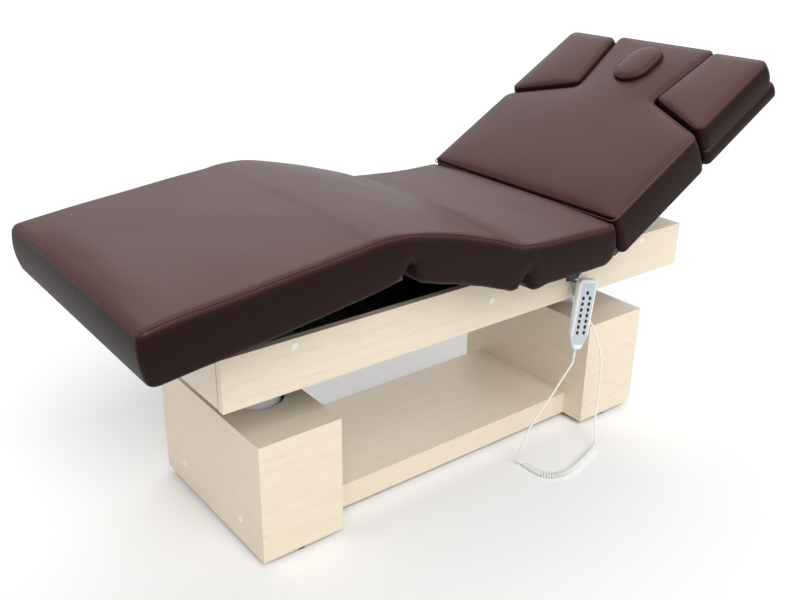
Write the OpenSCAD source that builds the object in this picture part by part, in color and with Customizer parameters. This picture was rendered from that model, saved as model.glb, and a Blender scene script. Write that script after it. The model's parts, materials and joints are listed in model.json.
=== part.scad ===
// Facial treatment bed: two plinths with lift columns, a boarded upper frame,
// an upholstered top in four sections, a wired handset and its curled cord.
// Lengths are in mm. +X points to the head, +Z up, and the floor is z = 0.

/* [Base] */
// Length of each plinth box, along the bed
plinth_len = 234; // [210:1:250]
// Width of each plinth box and of the upper frame
plinth_w = 540; // [530:2:560]
// Height of each plinth box
plinth_h = 330; // [310:1:345]
// Distance from the middle of the base to a plinth's outer face
plinth_out = 686; // [670:1:700]
// Thickness of the plinth boards
board_t = 18; // [12:1:20]
// Width of the low beam between the plinths
beam_w = 390; // [360:5:420]
// Height of the low beam
beam_h = 70; // [66:1:90]
// Height of the levelling feet
foot_h = 16; // [12:1:20]

/* [Lift] */
// Radius of a lift column's round ends
col_r = 66; // [60:1:70]
// Half the distance between the centres of those ends
col_half = 48; // [30:1:60]

/* [Upper frame] */
// Underside of the side boards
rail_z0 = 466; // [460:1:470]
// Top of the side boards
rail_z1 = 600; // [596:1:601]
// Thickness of the side boards
rail_t = 20; // [16:1:20]
// Foot end of the side boards
frame_x0 = -768; // [-790:1:-750]
// Head end of the side boards
frame_x1 = 832; // [820:1:850]

/* [Cushions] */
// Width of the cushions
pad_w = 770; // [740:5:800]
// Top of the seat cushion
seat_top = 722; // [715:1:726]
// Slope of the thigh section as it stands
thigh_a = 17.5; // [15:0.5:18]
// Slope of the calf section as it stands
calf_a = 6.3; // [5:0.1:7]
// Slope of the back section as it stands
back_a = 30.2; // [29:0.1:31]
// Length of the thigh section between its hinges
thigh_len = 380; // [378:1:384]
// Length of the calf section
calf_len = 645; // [620:5:670]
// Length of the back section
back_len = 792; // [786:2:810]

/* [Handset] */
// Width of the handset
hs_w = 58; // [54:1:60]
// Length of the handset
hs_len = 214; // [212:1:222]
// Thickness of the handset
hs_t = 23; // [20:1:24]
// Width of a push button
btn_w = 8; // [6:0.5:9]
// Diameter of the cord
cord_d = 5.5; // [4:0.5:6]
// Outer diameter of the curled part of the cord
coil_d = 18; // [14:1:18]

/* [Hidden] */

// moves the whole bed so that the origin lies under the middle of its length
shift_x = -39.8;

// colours
wood = [0.90, 0.84, 0.74];
plywood = [0.55, 0.45, 0.33];
hide = [0.27, 0.21, 0.20];
steel = [0.22, 0.22, 0.23];
white = [0.93, 0.93, 0.93];
grey = [0.70, 0.76, 0.80];
black = [0.05, 0.05, 0.05];

// clearances: a running hinge, sliding stages, a loose pivot
run = 0.05;
slide = 0.3;
loose = 2.2;

// base and columns
half_w = plinth_w / 2;
half_pad = pad_w / 2;
plinth_in = plinth_out - plinth_len;
plinth_mid = plinth_out - plinth_len / 2;
plinth_top = foot_h + plinth_h;
col_wall = 3.8;
col_top = 520;
col_step = col_wall + slide;
base_plate_t = 6;
foot_y = 238;
hole_shift = 4;
base_plate_z = foot_h + 1;

// hinge lines of the seat, the back and the knee: x and z
hinge_r = 6;
seat_px = 35;
seat_pz = 590;
back_px = 395;
back_pz = 588;
knee_px = seat_px - thigh_len * cos(thigh_a);
knee_pz = seat_pz + thigh_len * sin(thigh_a);

// links that carry the calf section: frame pivot, length, slope, place on the calf
link_px = seat_px - 483.5;
link_pz = seat_pz - 3.8;
link_len = 196.5;
link_a = 25.7;
link_c = 300;
stub_r = 4.5;

// section frames: outer face of the bars, their thickness and their underside
bar_y = 204;
calf_bar_y = 186;
bar_t = 14;
bar_n = -10;
cheek_y = 206;
cheek_t = 10;
tube_y = 216;

// boards under the cushions, and the cushions' own heights over the hinge line
board_n = 13;
calf_n = 16;
ply_t = 10;
back_ply_t = 18;
thigh_n1 = 138;
calf_n1 = 142;
back_n1 = 136;
arm_n1 = 142;
gap = 0.3;

// drives: levers hang from the hinge lines, and a slotted fork pushes each one's pin
drive_z = 508;
drive_r = 10;
back_lever = 90;
back_lever_a = 7.4;
leg_lever = 80;
leg_lever_a = 2.5;
back_drive_y = 70;
leg_drive_y = -70;
back_pin_x = back_px - back_lever * sin(back_lever_a);
leg_pin_x = seat_px - leg_lever * sin(leg_lever_a);

// hole for the face, in the back section
hole_u = 652;
hole_half = 26;
hole_r = 58;

// handset: top of its middle, and its tilt
hs_x = 349;
hs_y = -335;
hs_z = 545;
hs_tilt = 6.5;
hs_turn = -20;
hs_nose = 26;
hs_taper = 46;
boot_len = 30;
boot_y = 11;
row_0 = 55;
row_step = 17.5;
col_off = 10.5;

// ---- helpers ----
module box(x0, x1, y0, y1, z0, z1) {
  translate([x0, y0, z0]) cube([x1 - x0, y1 - y0, z1 - z0]);
}
// the children once on the far side and once, mirrored, on the near side
module both_sides() {
  children();
  mirror([0, 1, 0]) children();
}
module ybar(r, y0, y1) {
  translate([0, y1, 0]) rotate([90, 0, 0]) cylinder(r = r, h = y1 - y0, $fn = 48);
}
module upright(x, y, r, z0, z1) {
  translate([x, y, z0]) cylinder(r = r, h = z1 - z0, $fn = 48);
}
// an upright whose plan has round ends, across the bed
module stadium(x, r, z0, z1) {
  both_sides() upright(x, col_half, r, z0, z1);
  box(x - r, x + r, -col_half, col_half, z0, z1);
}
module stadium_tube(x, r, z0, z1) {
  difference() {
    stadium(x, r, z0, z1);
    stadium(x, r - col_wall, z0 - 1, z1 + 1);
  }
}
// places things drawn along a section: x runs from the hinge, z away from the hinge line
module thigh_at() {
  translate([seat_px, 0, seat_pz]) rotate([0, thigh_a, 0]) children();
}
module calf_at() {
  translate([knee_px, 0, knee_pz]) rotate([0, -calf_a, 0]) children();
}
module back_at() {
  translate([back_px, 0, back_pz]) rotate([0, -back_a, 0]) children();
}
// the same places as points: t, c or u along the section and n over the hinge line
function thigh_xz(t, n) = [seat_px - t * cos(thigh_a) + n * sin(thigh_a),
  seat_pz + t * sin(thigh_a) + n * cos(thigh_a)];
function calf_xz(c, n) = [knee_px - c * cos(calf_a) - n * sin(calf_a),
  knee_pz - c * sin(calf_a) + n * cos(calf_a)];
function back_xz(u, n) = [back_px + u * cos(back_a) - n * sin(back_a),
  back_pz + u * sin(back_a) + n * cos(back_a)];
// a side outline carried across the bed
module across(outline, half) {
  translate([0, half, 0]) rotate([90, 0, 0]) linear_extrude(height = 2 * half) polygon(outline);
}
// a plan outline on the back section, from height n0 to n1
module on_back(outline, n0, n1) {
  back_at() translate([0, 0, n0]) linear_extrude(height = n1 - n0) polygon(outline);
}
// a long bar of a section frame, with a hinge bore at its near end
module section_bar(x0, x1, y_out, n1, bore) {
  difference() {
    box(x0, x1, y_out - bar_t, y_out, bar_n, n1);
    ybar(bore, y_out - bar_t - 1, y_out + 1);
  }
}

// ---- base ----
module plinth(side) {
  x0 = side > 0 ? plinth_in : -plinth_out;
  x_open = side > 0 ? plinth_in - 1 : -plinth_in - board_t - 1;
  color(wood) difference() {
    box(x0, x0 + plinth_len, -half_w, half_w, foot_h, plinth_top);
    box(x0 + board_t, x0 + plinth_len - board_t, -half_w + board_t, half_w - board_t,
      foot_h - 1, plinth_top - board_t);
    // opening for the column
    stadium(side * plinth_mid + hole_shift, col_r + 7, plinth_top - board_t - 1, plinth_top + 1);
    // notches for the base beam
    both_sides() box(x_open, x_open + board_t + 2, 99, 141, foot_h - 1, base_plate_z + base_plate_t + 1);
  }
}
module plinth_foot() {
  plinth(-1);
}
module plinth_head() {
  plinth(1);
}
// cover of the base beam: a top board and two side boards
module stretcher() {
  cover_t = 16;
  color(wood) difference() {
    box(-plinth_in, plinth_in, -beam_w / 2, beam_w / 2, foot_h, foot_h + beam_h);
    box(-plinth_in - 1, plinth_in + 1, -beam_w / 2 + cover_t, beam_w / 2 - cover_t,
      foot_h - 1, foot_h + beam_h - cover_t);
  }
}
// steel plates under the columns and the two tubes that join them
module base_beam() {
  color(steel) {
    for (s = [-1, 1])
      box(s * plinth_mid - 97, s * plinth_mid + 97, -245, 245, base_plate_z, base_plate_z + base_plate_t);
    both_sides() {
      box(-plinth_in - 20, plinth_in + 20, 100, 140, base_plate_z, base_plate_z + base_plate_t);
      box(-plinth_in + 1, plinth_in - 1, 100, 140, base_plate_z, base_plate_z + 36);
    }
  }
}
module levelling_feet() {
  color(black) for (s = [-1, 1]) both_sides() {
    upright(s * plinth_mid, foot_y, 20, 0, 10);
    upright(s * plinth_mid, foot_y, 6, 10, base_plate_z);
  }
}

// ---- lift columns: a fixed, a middle and an upper stage each ----
module columns_lower() {
  color(steel) for (s = [-1, 1])
    stadium_tube(s * plinth_mid, col_r - 2 * col_step, base_plate_z + base_plate_t, 316);
}
module column_middle(x) {
  color(steel) stadium_tube(x, col_r - col_step, 84, 384);
}
module column_foot_middle() {
  column_middle(-plinth_mid);
}
module column_head_middle() {
  column_middle(plinth_mid);
}
module columns_upper() {
  color(white) for (s = [-1, 1]) {
    stadium_tube(s * plinth_mid, col_r, 137, col_top);
    stadium(s * plinth_mid, col_r, col_top, col_top + 4);
  }
}

// ---- upper frame ----
module side_rail_near() {
  color(wood) box(frame_x0, frame_x1, -half_w, -half_w + rail_t, rail_z0, rail_z1);
}
module side_rail_far() {
  color(wood) box(frame_x0, frame_x1, half_w - rail_t, half_w, rail_z0, rail_z1);
}
// end boards between the side boards, with a shadow gap, and the deck at the head end
module frame_panels() {
  y = half_w - rail_t - 4;
  t = 18;
  color(wood) {
    box(frame_x0, frame_x0 + t, -y, y, rail_z0 + 2, rail_z1 - 1);
    box(frame_x1 - t, frame_x1, -y, y, rail_z0 + 2, rail_z1 - t);
    box(frame_x1 - 132, frame_x1, -y, y, rail_z1 - t, rail_z1);
  }
}
module long_tubes() {
  wall = 3;
  color(steel) both_sides() difference() {
    box(frame_x0 + 22, frame_x1 - 22, tube_y, tube_y + 34, 480, 540);
    box(frame_x0 + 21, frame_x1 - 21, tube_y + wall, tube_y + 34 - wall, 480 + wall, 540 - wall);
  }
}
// an upright cheek that holds a hinge rod
module cheek(px, pz) {
  difference() {
    union() {
      box(px - 16, px + 16, cheek_y, cheek_y + cheek_t, 480, pz);
      translate([px, 0, pz]) ybar(12, cheek_y, cheek_y + cheek_t);
    }
    translate([px, 0, pz]) ybar(hinge_r, cheek_y - 1, cheek_y + cheek_t + 1);
  }
}
module cross_beams() {
  color(steel) {
    // column head plates
    for (s = [-1, 1]) box(s * plinth_mid - 80, s * plinth_mid + 80, -tube_y, tube_y, 524, 536);
    // carriers of the drives and the control box
    for (x = [-170, 150, 250]) box(x, x + 40, -tube_y, tube_y, 478, 484);
    // carrier of the calf links
    box(link_px - 20, link_px + 20, -tube_y, tube_y, 500, 540);
    both_sides() {
      cheek(seat_px, seat_pz);
      cheek(back_px, back_pz);
      // posts under the seat board
      for (x = [90, 300]) box(x, x + 30, cheek_y, cheek_y + cheek_t, 500, 603);
      // cheek and stub of a calf link
      box(link_px - 14, link_px + 14, 128, 138, 540, link_pz);
      translate([link_px, 0, link_pz]) {
        ybar(12, 128, 138);
        ybar(hinge_r, 138, 158);
      }
    }
  }
}
module hinge_rods() {
  color(steel) {
    translate([seat_px, 0, seat_pz]) ybar(hinge_r, -220, 220);
    translate([back_px, 0, back_pz]) ybar(hinge_r, -220, 220);
  }
}
module seat_board() {
  color(plywood) box(60, 365, -half_pad + 20, half_pad - 20, 603, 603 + ply_t);
}
module seat_pad() {
  z = 603 + ply_t + gap;
  color(hide) across([[72, z], [300, z], [300, seat_top], [72, seat_top + 3]], half_pad);
}
// soft wedge where the leg cushion bends at the seat
module seat_thigh_foam() {
  color(hide) across([thigh_xz(14, 60), [71.7, 648], [71.7, seat_top + 3], thigh_xz(41.7, thigh_n1)],
    half_pad - 1);
}
// soft wedge where the seat and the back cushion press together
module back_seat_foam() {
  z = 603 + ply_t + gap;
  color(hide) across([[300.3, z], [364, z], [388, 628], back_xz(39.5, 31.6), back_xz(114.5, back_n1),
    back_xz(46, back_n1 - 3), [368, seat_top], [300.3, seat_top]], half_pad - 1);
}

// ---- drives ----
// housing with a bore for the rod
module drive_body(x0, x1, y, bore0, bore1) {
  difference() {
    box(x0, x1, y - 25, y + 25, 484, 531);
    translate([bore0, y, drive_z]) rotate([0, 90, 0])
      cylinder(r = drive_r + slide, h = bore1 - bore0, $fn = 48);
  }
}
module drives() {
  color(black) {
    drive_body(20, 268, back_drive_y, 100, 269);
    drive_body(128, 340, leg_drive_y, 127, 300);
  }
}
// fork whose upright slot holds the lever's pin, on a rod that runs towards +x
module drive_fork(rod_len) {
  both_sides() difference() {
    box(-17, 46, 8, 18, 478, 541);
    box(-9, 9, 7, 19, 487, 532);
  }
  box(44, 62, -18, 18, 494, 522);
  translate([62, 0, drive_z]) rotate([0, 90, 0]) cylinder(r = drive_r, h = rod_len, $fn = 48);
}
module back_drive_rod() {
  color(steel) translate([back_pin_x, back_drive_y, 0]) mirror([1, 0, 0]) drive_fork(140);
}
module leg_drive_rod() {
  color(steel) translate([leg_pin_x, leg_drive_y, 0]) drive_fork(110);
}
module control_box() {
  color(black) box(-240, -60, -60, 120, 484, 516);
}
// tube round a hinge rod, with a lever that hangs from it at angle a towards -x
module lever_tube(len, a, y) {
  difference() {
    union() {
      ybar(11, bar_t - bar_y, bar_y - bar_t);
      rotate([0, a, 0]) {
        box(-11, 11, y - 6, y + 6, -len, 0);
        translate([0, 0, -len]) {
          ybar(11, y - 6, y + 6);
          ybar(hinge_r, y - 20, y + 20);
        }
      }
    }
    ybar(hinge_r + run, -bar_y, bar_y);
  }
}

// ---- thigh section ----
// bars, cross tube and lever in one welded frame, with the knee rod
module thigh_bars() {
  color(steel) {
    thigh_at() {
      both_sides() section_bar(-thigh_len - 12, 12, bar_y, board_n, hinge_r + run);
      box(-330, -306, bar_t - bar_y, bar_y - bar_t, bar_n, board_n);
      translate([-thigh_len, 0, 0]) ybar(hinge_r, -bar_y - 2, bar_y + 2);
    }
    translate([seat_px, 0, seat_pz]) lever_tube(leg_lever, leg_lever_a, leg_drive_y);
  }
}
module thigh_board() {
  color(plywood) thigh_at()
    box(14 - thigh_len, -6, -half_pad + 20, half_pad - 20, board_n, board_n + ply_t);
}
module thigh_pad() {
  n0 = board_n + ply_t + gap;
  t1 = thigh_len - 6;
  color(hide) across([thigh_xz(2, n0), thigh_xz(t1, n0), thigh_xz(t1, thigh_n1),
    thigh_xz(42, thigh_n1)], half_pad);
}
// soft wedge over the knee hinge
module knee_foam() {
  t1 = thigh_len - 6 + gap;
  c0 = 6 - gap;
  color(hide) across([thigh_xz(t1, 62), thigh_xz(t1, thigh_n1), [knee_px + 10, knee_pz + 139],
    [knee_px - 4, knee_pz + 140], calf_xz(c0, calf_n1), calf_xz(c0, 62)], half_pad - 1);
}

// ---- calf section ----
module calf_bars() {
  color(steel) calf_at() {
    both_sides() {
      section_bar(-390, 12, calf_bar_y, calf_n, hinge_r + run);
      // stub that a link carries
      translate([-link_c, 0, 0]) ybar(stub_r, 141, calf_bar_y - bar_t);
    }
    for (c = [50, 366]) box(-c - 24, -c, bar_t - calf_bar_y, calf_bar_y - bar_t, bar_n, calf_n);
  }
}
module calf_board() {
  color(plywood) calf_at()
    box(20 - calf_len, -14, -half_pad + 20, half_pad - 20, calf_n, calf_n + ply_t);
}
module calf_pad() {
  n0 = calf_n + ply_t + gap;
  color(hide) across([calf_xz(6, n0), calf_xz(calf_len, n0), calf_xz(calf_len, calf_n1),
    calf_xz(6, calf_n1)], half_pad);
}
module calf_links() {
  y0 = 144;
  y1 = 156;
  color(steel) translate([link_px, 0, link_pz]) rotate([0, link_a, 0]) both_sides() difference() {
    union() {
      box(-link_len, 0, y0, y1, -10, 10);
      ybar(13, y0, y1);
      translate([-link_len, 0, 0]) ybar(13, y0, y1);
    }
    ybar(hinge_r + run, y0 - 1, y1 + 1);
    translate([-link_len, 0, 0]) ybar(hinge_r + loose, y0 - 1, y1 + 1);
  }
}

// ---- back section ----
module back_bars() {
  color(steel) {
    back_at() {
      both_sides() section_bar(-12, 290, bar_y, board_n, hinge_r + run);
      box(250, 274, bar_t - bar_y, bar_y - bar_t, bar_n, board_n);
    }
    translate([back_px, 0, back_pz]) lever_tube(back_lever, back_lever_a, back_drive_y);
  }
}
// a slot with round ends through the back section
module face_slot(r, n0, n1) {
  back_at() translate([hole_u, 0, n0]) {
    for (s = [-1, 1]) translate([s * hole_half, 0, 0]) cylinder(r = r, h = n1 - n0, $fn = 72);
    box(-hole_half, hole_half, -r, r, 0, n1 - n0);
  }
}
module back_board() {
  y = half_pad - 20;
  color(plywood) difference() {
    on_back([[26, -y], [back_len - 20, -y], [back_len - 20, y], [26, y]], board_n, board_n + back_ply_t);
    face_slot(hole_r + 1, 0, 50);
  }
}
// half of the back cushion's plan: full width, shoulder, then the narrower head part
function back_outline(s) = [[40, s * half_pad], [420, s * half_pad], [516, s * 158], [530, s * 150],
  [back_len - 10, s * 186.5], [back_len, s * 178]];
module back_pad() {
  n0 = board_n + back_ply_t + gap;
  far = back_outline(1);
  color(hide) difference() {
    on_back(concat(back_outline(-1), [for (i = [len(far) - 1:-1:0]) far[i]]), n0, back_n1);
    face_slot(hole_r, 0, 160);
    // the lower end leans away from the seat, to make room when the back is raised
    back_at() translate([40, 0, n0]) rotate([0, 35.7, 0])
      box(-200, 0, -half_pad - 5, half_pad + 5, -40, 300);
  }
}
// plan that fills the notch beside the head part, out to length u1
module arm_block(u1, n0, n1) {
  inner = 156.8;
  on_back([[427, half_pad], [520, 166], [534, inner], [u1, inner + (u1 - 534) * 0.145],
    [u1, half_pad]], n0, n1);
}
module arm_bases() {
  color(hide) both_sides() arm_block(back_len - 10, board_n + back_ply_t + gap, 62);
}
module arm_pad_far() {
  color(hide) arm_block(back_len - 17, 62.4, arm_n1);
}
module arm_pad_near() {
  mirror([0, 1, 0]) arm_pad_far();
}
module face_plug() {
  color(hide) {
    face_slot(hole_r + 4, back_n1 + 0.4, back_n1 + 7);
    face_slot(hole_r - 0.5, 84, back_n1 + 0.4);
  }
}

// ---- handset ----
module handset_at() {
  translate([hs_x, hs_y, hs_z]) rotate([0, hs_tilt, 0]) rotate([0, 0, hs_turn]) children();
}
// a slab with a tapered foot, from height -top down to -bottom
module handset_slab(w, top, bottom, nose, y0, y1) {
  z = hs_taper - bottom;
  translate([0, y1, 0]) rotate([90, 0, 0]) linear_extrude(height = y1 - y0)
    polygon([[-w / 2, -top], [w / 2, -top], [w / 2, z], [nose / 2, -bottom], [-nose / 2, -bottom],
      [-w / 2, z]]);
}
// place of a button: side -1 or 1 and row 1 to 7, or the one at the top
function button_c(side, row) = side == 0 ? [0, row_0 - 16] : [side * col_off, row_0 + (row - 1) * row_step];
// an oval column at a button's place, wider by e
module button_slot(side, row, e, y0, y1) {
  c = button_c(side, row);
  r = btn_w / 2 + e;
  translate([c[0], y1, -c[1]]) rotate([90, 0, 0]) {
    for (s = [-1, 1]) translate([0, s * 1.8, 0]) cylinder(r = r, h = y1 - y0, $fn = 32);
    translate([-r, -1.8, 0]) cube([2 * r, 3.6, y1 - y0]);
  }
}
module button(side, row) {
  color(black) handset_at() button_slot(side, row, 0, -3.2, 4.5);
}
// shell with the ribbed boot of the cord below and a hook at the back
module handset_shell() {
  color(white) {
    handset_at() {
      difference() {
        handset_slab(hs_w, 0, hs_len, hs_nose, 0, hs_t);
        box(-20, 20, -1, 8, -row_0 - 7 * row_step, 24 - row_0);
      }
      translate([0, boot_y, 0]) for (i = [0:4]) {
        upright(0, 0, 3.6, -hs_len - 6 * i - 6, -hs_len - 6 * i);
        upright(0, 0, 5.4 - i * 0.35, -hs_len - 6 * i - 5, -hs_len - 6 * i - 1.5);
      }
    }
    translate([hs_x, hs_y, hs_z]) {
      box(-12, 12, hs_t - 2, hs_t + 3, -20, 25);
      box(-12, 12, hs_t - 2, hs_t + 24, 22.3, 25.3);
      box(-12, 12, hs_t + 21, hs_t + 24, 14, 25.3);
    }
  }
}
module handset_face() {
  color(grey) handset_at() difference() {
    handset_slab(hs_w - 7, 5, hs_len - 5, hs_nose - 4, -1.6, 0);
    button_slot(0, 1, gap, -3, 1);
    for (s = [-1, 1], row = [1:7]) button_slot(s, row, gap, -3, 1);
  }
}
// plate on the side board with an arm and a lip that the hook hangs on
module handset_holder() {
  color(black) {
    box(325, 373, -half_w - 5, -half_w, hs_z - 21, hs_z + 32);
    box(331, 367, -302, -half_w - 5, hs_z + 5, hs_z + 11);
    box(331, 367, -302, -298, hs_z + 5, hs_z + 22);
  }
}
// clamp on the side board with the ribbed boot that the cord comes out of
module cord_gland() {
  color([0.60, 0.64, 0.58]) {
    for (i = [0:3]) upright(352, -279, 6.5 - i * 0.5, 503 - i * 6, 507 - i * 6);
    upright(352, -279, 4.2, 479, 507);
    box(343, 361, -286, -half_w, 507, 520);
  }
}

// ---- cord ----
// a smooth curve through the points, with s steps between neighbours
function curve(p, s) = concat([for (i = [0:len(p) - 2], k = [0:s - 1])
  let (a = p[max(i - 1, 0)], b = p[i], c = p[i + 1], d = p[min(i + 2, len(p) - 1)], t = k / s)
  b + 0.5 * ((c - a) * t + (2 * a - 5 * b + 4 * c - d) * t * t + (3 * b - a - 3 * c + d) * t * t * t)],
  [p[len(p) - 1]]);
function unit(v) = v / norm(v);
function tangent(p, i) = unit(p[min(i + 1, len(p) - 1)] - p[max(i - 1, 0)]);
// side directions carried along the path without a twist
function sides(p, u, i = 0) = i >= len(p) ? [] :
  let (t = tangent(p, i), v = unit(u - t * (u * t))) concat([[v, cross(t, v)]], sides(p, v, i + 1));
// a tube of radius r with n sides; u is any direction across its start
module sweep(p, r, n, u) {
  f = sides(p, u);
  m = len(p);
  points = [for (i = [0:m - 1], k = [0:n - 1])
    p[i] + r * (cos(360 * k / n) * f[i][0] + sin(360 * k / n) * f[i][1])];
  faces = concat([[for (k = [0:n - 1]) k]],
    [for (i = [0:m - 2], k = [0:n - 1])
      [i * n + k, (i + 1) * n + k, (i + 1) * n + (k + 1) % n, i * n + (k + 1) % n]],
    [[for (k = [n - 1:-1:0]) (m - 1) * n + k]]);
  polyhedron(points = points, faces = faces, convexity = 10);
}
// end of the handset's boot and the way it points
boot_dir = [-sin(hs_tilt), 0, -cos(hs_tilt)];
boot_side = boot_y * [-sin(hs_turn) * cos(hs_tilt), cos(hs_turn), sin(hs_turn) * sin(hs_tilt)];
boot_end = [hs_x, hs_y, hs_z] + boot_side + (hs_len + boot_len + gap) * boot_dir;
coil_z = coil_d / 2;
lower_route = [boot_end, boot_end + 8 * boot_dir, boot_end + 16 * boot_dir, [290, -325, 252],
  [242, -326, 203], [196, -327, 162], [160, -327, 122], [141, -325, 82], [136, -318, 44],
  [138, -310, 20], [145, -318.4, 11]];
coil_route = [[148, -322, coil_z], [150, -348, coil_z], [152, -378, coil_z], [160, -405, coil_z],
  [182, -424, coil_z], [212, -432, coil_z], [258, -428, coil_z], [317, -412, coil_z],
  [368, -394, coil_z], [384, -388, coil_z + 6]];
upper_route = [[387.5, -386.7, coil_z + 7.3], [392, -382, 36], [400, -368, 80], [412, -358, 124],
  [424, -350, 172], [434, -342, 218], [438, -335, 264], [434, -328, 304], [414, -318, 362],
  [397, -308, 400], [380, -298, 426], [362, -286, 446], [353, -280, 458], [352, -279, 465],
  [352, -279, 472], [352, -279, 479]];
module cord_lower() {
  color(white) sweep(curve(lower_route, 4), cord_d / 2, 10, [0, 1, 0]);
}
module cord_coil() {
  color(white) sweep(curve(coil_route, 3), coil_d / 2, 12, [0, 0, 1]);
}
module cord_upper() {
  color(white) sweep(curve(upper_route, 3), cord_d / 2, 10, [0, 1, 0]);
}

// ---- output ----
module place() {
  translate([shift_x, 0, 0]) children();
}
place() plinth_foot();
place() plinth_head();
place() stretcher();
place() base_beam();
place() levelling_feet();
place() columns_lower();
place() column_foot_middle();
place() column_head_middle();
place() columns_upper();
place() side_rail_near();
place() side_rail_far();
place() frame_panels();
place() long_tubes();
place() cross_beams();
place() hinge_rods();
place() seat_board();
place() seat_pad();
place() seat_thigh_foam();
place() back_seat_foam();
place() drives();
place() back_drive_rod();
place() leg_drive_rod();
place() control_box();
place() thigh_bars();
place() thigh_board();
place() thigh_pad();
place() knee_foam();
place() calf_bars();
place() calf_board();
place() calf_pad();
place() calf_links();
place() back_bars();
place() back_board();
place() back_pad();
place() arm_bases();
place() arm_pad_near();
place() arm_pad_far();
place() face_plug();
place() handset_holder();
place() cord_gland();
place() handset_shell();
place() handset_face();
place() button(0, 1);  // button_top
place() button(-1, 1);  // button_l1
place() button(-1, 2);  // button_l2
place() button(-1, 3);  // button_l3
place() button(-1, 4);  // button_l4
place() button(-1, 5);  // button_l5
place() button(-1, 6);  // button_l6
place() button(-1, 7);  // button_l7
place() button(1, 1);  // button_r1
place() button(1, 2);  // button_r2
place() button(1, 3);  // button_r3
place() button(1, 4);  // button_r4
place() button(1, 5);  // button_r5
place() button(1, 6);  // button_r6
place() button(1, 7);  // button_r7
place() cord_lower();
place() cord_coil();
place() cord_upper();
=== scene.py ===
"""Looks of the facial treatment bed: upholstery, laminate, steel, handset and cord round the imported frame."""

import json
import math

import bpy
import numpy as np
from mathutils import Matrix, Vector


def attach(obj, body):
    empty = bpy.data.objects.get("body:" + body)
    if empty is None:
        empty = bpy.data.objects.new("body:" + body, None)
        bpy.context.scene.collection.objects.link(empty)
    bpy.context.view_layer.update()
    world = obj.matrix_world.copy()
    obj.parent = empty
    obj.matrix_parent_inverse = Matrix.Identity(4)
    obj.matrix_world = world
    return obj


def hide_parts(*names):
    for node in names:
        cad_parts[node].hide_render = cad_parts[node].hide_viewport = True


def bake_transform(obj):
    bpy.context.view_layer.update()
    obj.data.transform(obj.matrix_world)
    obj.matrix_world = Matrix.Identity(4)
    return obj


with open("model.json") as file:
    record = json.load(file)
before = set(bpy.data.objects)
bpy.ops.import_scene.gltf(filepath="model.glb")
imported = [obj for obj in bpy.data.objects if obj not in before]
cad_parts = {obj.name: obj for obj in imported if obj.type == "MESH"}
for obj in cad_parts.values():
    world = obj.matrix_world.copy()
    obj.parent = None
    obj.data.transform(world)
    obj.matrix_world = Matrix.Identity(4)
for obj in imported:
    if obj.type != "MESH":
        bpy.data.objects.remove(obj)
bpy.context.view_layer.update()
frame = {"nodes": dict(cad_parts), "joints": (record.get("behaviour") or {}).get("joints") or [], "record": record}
nodes = frame["nodes"]
joints = {j["name"]: j for j in frame["joints"]}
MM = 0.001


# ---- places on the bed, worked out from the hinges ----
def hinge(name):
    """x and z of a hinge line."""
    x, _, z = joints[name]["pos_m"]
    return np.array([x, z])


SEAT, KNEE, BACK = hinge("thigh_hinge"), hinge("knee_hinge"), hinge("back_hinge")
THIGH_SLOPE = -math.radians(joints["thigh_hinge"]["range_deg"][0])
BACK_SLOPE = -math.radians(joints["back_hinge"]["range_deg"][0])
CALF_SLOPE = math.radians(6.3)
HALF = 0.385
SEAT_TO_MIDDLE = SEAT[0] - 0.035


def along(origin, angle, side, t, n):
    """x and z of the point t mm along a section that leaves origin at angle, n mm above its hinge line."""
    t, n = np.asarray(t) * MM, np.asarray(n) * MM
    x = origin[0] + side * t * math.cos(angle) - side * n * math.sin(angle)
    z = origin[1] + t * math.sin(angle) + n * math.cos(angle)
    return np.stack(np.broadcast_arrays(x, z), -1)


def thigh(t, n):
    return along(SEAT, THIGH_SLOPE, -1, t, n)


def calf(c, n):
    return along(KNEE, -CALF_SLOPE, -1, c, n)


def back(u, n):
    return along(BACK, BACK_SLOPE, 1, u, n)


def near(origin, dx, dz):
    return origin + np.array([dx, dz]) * MM


def bed(x, y, z):
    """A point given in mm from the middle of the base, in the bed's own frame in metres."""
    return np.array([x * MM + SEAT_TO_MIDDLE, y * MM, z * MM])


# the handset: top middle of its front in mm, its turns, its length, and the rows and columns of its buttons
HANDSET, HANDSET_LEN, BOOT_LEN, BOOT_Y = (349, -335, 545), 214, 30, 11
HANDSET_TILT, HANDSET_YAW = math.radians(6.5), math.radians(-20)
ROW_0, ROW_STEP, COL_OFF = 55, 17.5, 10.5
# half of a button's straight stretch, the white ring's reach, and how far the lone button is above row one
STROKE, RING, TOP_BUTTON = 1.8, 5.6, 16


# ---- camera ----
def camera():
    yaw, pitch, roll = map(math.radians, (-38.065, 23.453, 0.896))
    ahead = Vector((-math.sin(yaw) * math.cos(pitch), math.cos(yaw) * math.cos(pitch), -math.sin(pitch)))
    right = ahead.cross(Vector((0, 0, 1))).normalized()
    up = right.cross(ahead)
    side = right * math.cos(roll) + up * math.sin(roll)
    top = up * math.cos(roll) - right * math.sin(roll)
    data = bpy.data.cameras.new("camera")
    data.lens, data.sensor_width = 41.82, 36
    cam = bpy.data.objects.new("camera", data)
    cam.matrix_world = Matrix.Translation(bed(-1562.6, -1913.2, 1524.1)) @ Matrix(
        (side, top, -ahead)).transposed().to_4x4()
    bpy.context.scene.collection.objects.link(cam)
    bpy.context.scene.camera = cam


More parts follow.
